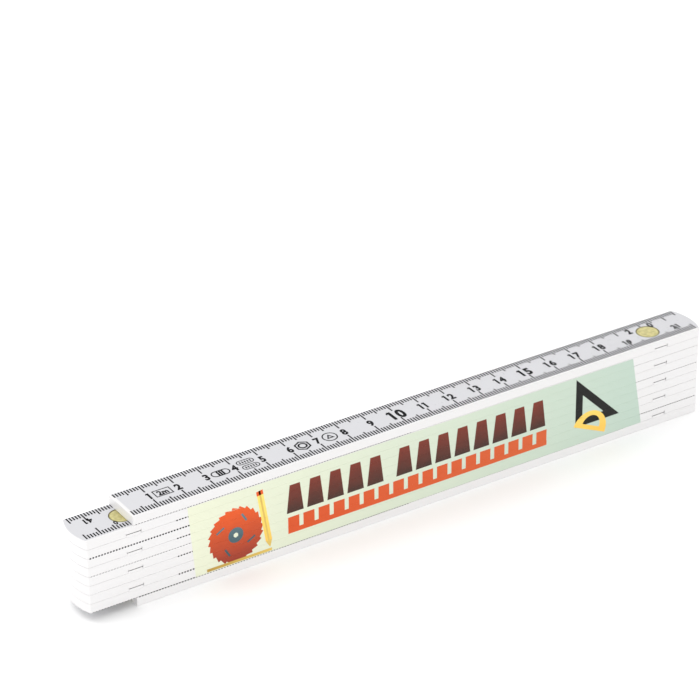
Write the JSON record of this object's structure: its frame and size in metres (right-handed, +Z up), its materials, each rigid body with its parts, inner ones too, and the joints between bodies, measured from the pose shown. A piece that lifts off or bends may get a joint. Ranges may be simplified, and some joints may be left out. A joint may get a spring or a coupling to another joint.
{
  "type": "folding rule",
  "caption": "White lacquered wooden folding rule with concealed spring joints, brass rivet heads and a black millimetre scale, folded flat.",
  "frame": {"origin": "centre of the folded stack's underside, on the bottom face of the last member", "axes": "+X along the folded members, towards the first hinge; +Z up through the stack, out of the scale face; +Y across the members"},
  "size_m": [0.2352, 0.015, 0.032],
  "materials": {
    "white_lacquer": "white lacquer on beech, satin",
    "joint_steel": "spring steel, rolled",
    "rivet_brass": "brass plated, fine turned",
    "pin_steel": "bright pin",
    "scale_ink": "black printed ink",
    "panel_print": "colour print on the lacquered edges"
  },
  "bodies": {
    "leaf_10": {"member_10": "white_lacquer", "fixing_pins_10": "pin_steel", "raised_plate_09": "joint_steel", "pivot_rivet_09": "rivet_brass", "rivet_cap_09": "rivet_brass"},
    "leaf_09": {"member_09": "white_lacquer", "fixing_pins_09": "pin_steel", "spring_plate_09": "joint_steel", "raised_plate_08": "joint_steel", "pivot_rivet_08": "rivet_brass", "rivet_cap_08": "rivet_brass"},
    "leaf_08": {"member_08": "white_lacquer", "fixing_pins_08": "pin_steel", "spring_plate_08": "joint_steel", "raised_plate_07": "joint_steel", "pivot_rivet_07": "rivet_brass", "rivet_cap_07": "rivet_brass"},
    "leaf_07": {"member_07": "white_lacquer", "fixing_pins_07": "pin_steel", "spring_plate_07": "joint_steel", "raised_plate_06": "joint_steel", "pivot_rivet_06": "rivet_brass", "rivet_cap_06": "rivet_brass"},
    "leaf_06": {"member_06": "white_lacquer", "fixing_pins_06": "pin_steel", "spring_plate_06": "joint_steel", "raised_plate_05": "joint_steel", "pivot_rivet_05": "rivet_brass", "rivet_cap_05": "rivet_brass"},
    "leaf_05": {"member_05": "white_lacquer", "fixing_pins_05": "pin_steel", "spring_plate_05": "joint_steel", "raised_plate_04": "joint_steel", "pivot_rivet_04": "rivet_brass", "rivet_cap_04": "rivet_brass"},
    "leaf_04": {"member_04": "white_lacquer", "fixing_pins_04": "pin_steel", "spring_plate_04": "joint_steel", "raised_plate_03": "joint_steel", "pivot_rivet_03": "rivet_brass", "rivet_cap_03": "rivet_brass"},
    "leaf_03": {"member_03": "white_lacquer", "fixing_pins_03": "pin_steel", "spring_plate_03": "joint_steel", "raised_plate_02": "joint_steel", "pivot_rivet_02": "rivet_brass", "rivet_cap_02": "rivet_brass"},
    "leaf_02": {"member_02": "white_lacquer", "fixing_pins_02": "pin_steel", "spring_plate_02": "joint_steel", "raised_plate_01": "joint_steel", "pivot_rivet_01": "rivet_brass", "rivet_cap_01": "rivet_brass"},
    "leaf_01": {"member_01": "white_lacquer", "fixing_pins_01": "pin_steel", "spring_plate_01": "joint_steel"}
  },
  "joints": [
    {"name": "hinge_09", "type": "hinge", "parent": "leaf_10", "child": "leaf_09", "pos_m": [0.1, 0, 0.00316], "axis": [0, 0, 1], "range_deg": [-180, 180]},
    {"name": "hinge_08", "type": "hinge", "parent": "leaf_09", "child": "leaf_08", "pos_m": [-0.1, 0, 0.00636], "axis": [0, 0, 1], "range_deg": [-180, 180]},
    {"name": "hinge_07", "type": "hinge", "parent": "leaf_08", "child": "leaf_07", "pos_m": [0.1, 0, 0.00956], "axis": [0, 0, 1], "range_deg": [-180, 180]},
    {"name": "hinge_06", "type": "hinge", "parent": "leaf_07", "child": "leaf_06", "pos_m": [-0.1, 0, 0.01276], "axis": [0, 0, 1], "range_deg": [-180, 180]},
    {"name": "hinge_05", "type": "hinge", "parent": "leaf_06", "child": "leaf_05", "pos_m": [0.1, 0, 0.01596], "axis": [0, 0, 1], "range_deg": [-180, 180]},
    {"name": "hinge_04", "type": "hinge", "parent": "leaf_05", "child": "leaf_04", "pos_m": [-0.1, 0, 0.01916], "axis": [0, 0, 1], "range_deg": [-180, 180]},
    {"name": "hinge_03", "type": "hinge", "parent": "leaf_04", "child": "leaf_03", "pos_m": [0.1, 0, 0.02236], "axis": [0, 0, 1], "range_deg": [-180, 180]},
    {"name": "hinge_02", "type": "hinge", "parent": "leaf_03", "child": "leaf_02", "pos_m": [-0.1, 0, 0.02556], "axis": [0, 0, 1], "range_deg": [-180, 180]},
    {"name": "hinge_01", "type": "hinge", "parent": "leaf_02", "child": "leaf_01", "pos_m": [0.1, 0, 0.02876], "axis": [0, 0, 1], "range_deg": [-180, 180]}
  ]
}
